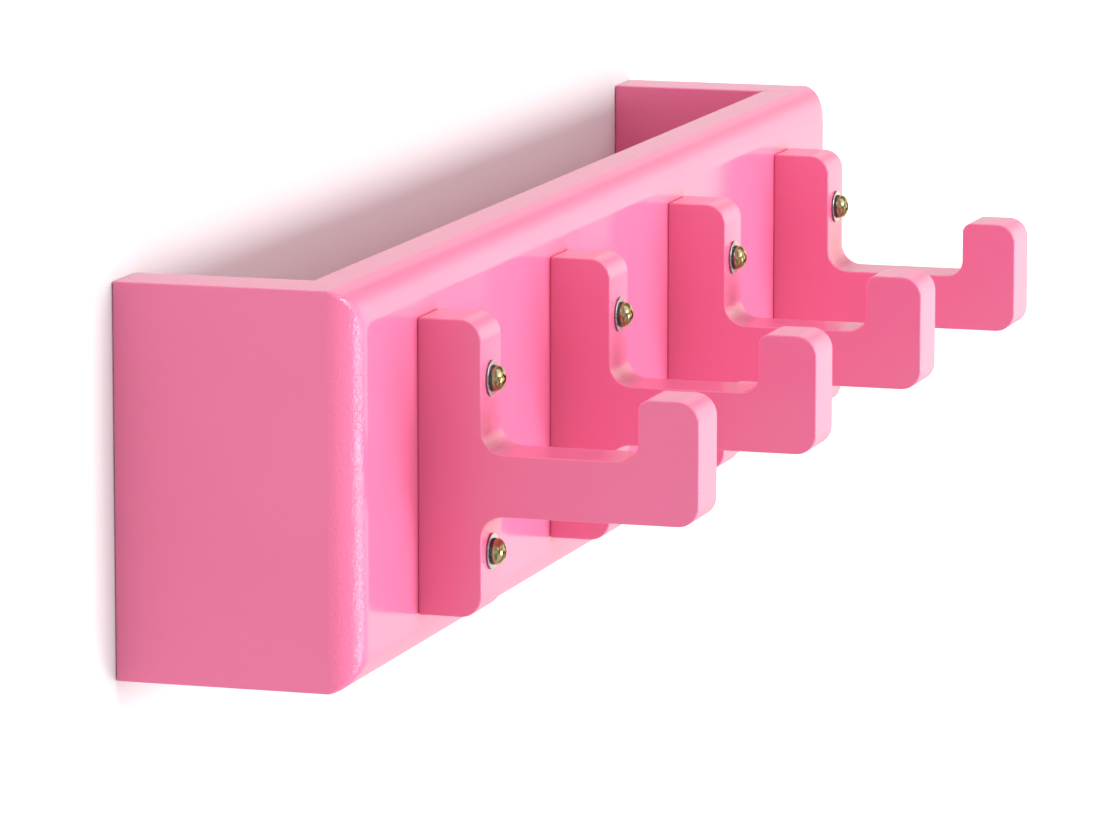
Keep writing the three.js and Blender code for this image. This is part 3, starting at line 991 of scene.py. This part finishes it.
# How bright the studio is below, level with and above the rack, in four directions from it
STUDIO_LEFT = (0.3, 0.7, 0.48)
STUDIO_FRONT = (0.95, 0.3, 1.65)
STUDIO_RIGHT = (0.3, 1.5, 0.3)
STUDIO_FAR_RIGHT = (1.0, 1.4, 0.3)
CREAM = (1.0, 0.98, 0.76)  # the far right's colour
COOL = (0.97, 1.06, 1.1)   # the left's
STUDIO_BEHIND = 0.8        # behind the wall, which the rack's back and its gloss see
SIDES_FROM = 0.55          # sine of the angle from straight ahead where the left and right start
FAR_RIGHT_FROM = 0.87
LEVEL_WITHIN = 0.25        # sine of the angle up or down where the parts below and above start
SIDES_BLUR = 0.15          # to either side of those, how far one part blends into the next
FAR_RIGHT_BLUR = 0.04
LEVEL_BLUR = 0.1
BEHIND_BLUR = 0.02


def surroundings():
    """Softly blended pale studio walls, some brighter than others."""
    world = bpy.data.worlds.new("studio")
    n = Nodes(world)
    x, y, z = n.split(n.add("TexCoord").outputs["Generated"])
    level = n.math("SQRT", n.math("ADD", n.math("MULTIPLY", x, x), n.math("MULTIPLY", y, y)))
    sideways = n.math("DIVIDE", x, n.math("MAXIMUM", level, 0.001))
    above = n.ramp(z, LEVEL_WITHIN - LEVEL_BLUR, LEVEL_WITHIN + LEVEL_BLUR)
    below = n.ramp(z, -LEVEL_WITHIN - LEVEL_BLUR, -LEVEL_WITHIN + LEVEL_BLUR, 1, 0)

    def part(low, middle, high):
        return n.blend(above, n.blend(below, middle, low), high)

    left = n.ramp(sideways, -SIDES_FROM - SIDES_BLUR, -SIDES_FROM + SIDES_BLUR, 1, 0)
    right = n.ramp(sideways, SIDES_FROM - SIDES_BLUR, SIDES_FROM + SIDES_BLUR)
    far_right = n.ramp(sideways, FAR_RIGHT_FROM - FAR_RIGHT_BLUR, FAR_RIGHT_FROM + FAR_RIGHT_BLUR)
    ahead = n.blend(left, part(*STUDIO_FRONT), part(*STUDIO_LEFT))
    ahead = n.blend(right, ahead, part(*STUDIO_RIGHT))
    ahead = n.blend(far_right, ahead, part(*STUDIO_FAR_RIGHT))
    behind = n.ramp(y, -BEHIND_BLUR, BEHIND_BLUR)
    background = n.tree.nodes["Background"]
    n.join(n.blend(behind, ahead, STUDIO_BEHIND), background.inputs["Strength"])
    tint = n.mix(far_right, n.mix(left, (1.0, 1.0, 1.0), COOL), CREAM)
    n.join(n.mix(behind, tint, (1.0, 1.0, 1.0)), background.inputs["Color"])
    bpy.context.scene.world = world


wall()
sweep()
surroundings()
# Kept out of gloss: the flat front board would mirror it, and go white when seen straight on
softbox("front", (0.0, -2.6, 0.225), (0.0, 0, 0.225), 0.8, 0.65, 42.5, on_gloss=False)
softbox("low_strip", (0.6, -2.6, -0.45), (0.6, 0, -0.45), 0.6, 0.7, 24)
# For the screw heads' highlights. Upright faces show it only to a camera well below the rack
softbox("glint", (0.0, -2.6, 0.9), (0.0, 0, 0), 0.7, 0.45, 30, on_matt=False)
bpy.context.scene.view_settings.view_transform = "Standard"
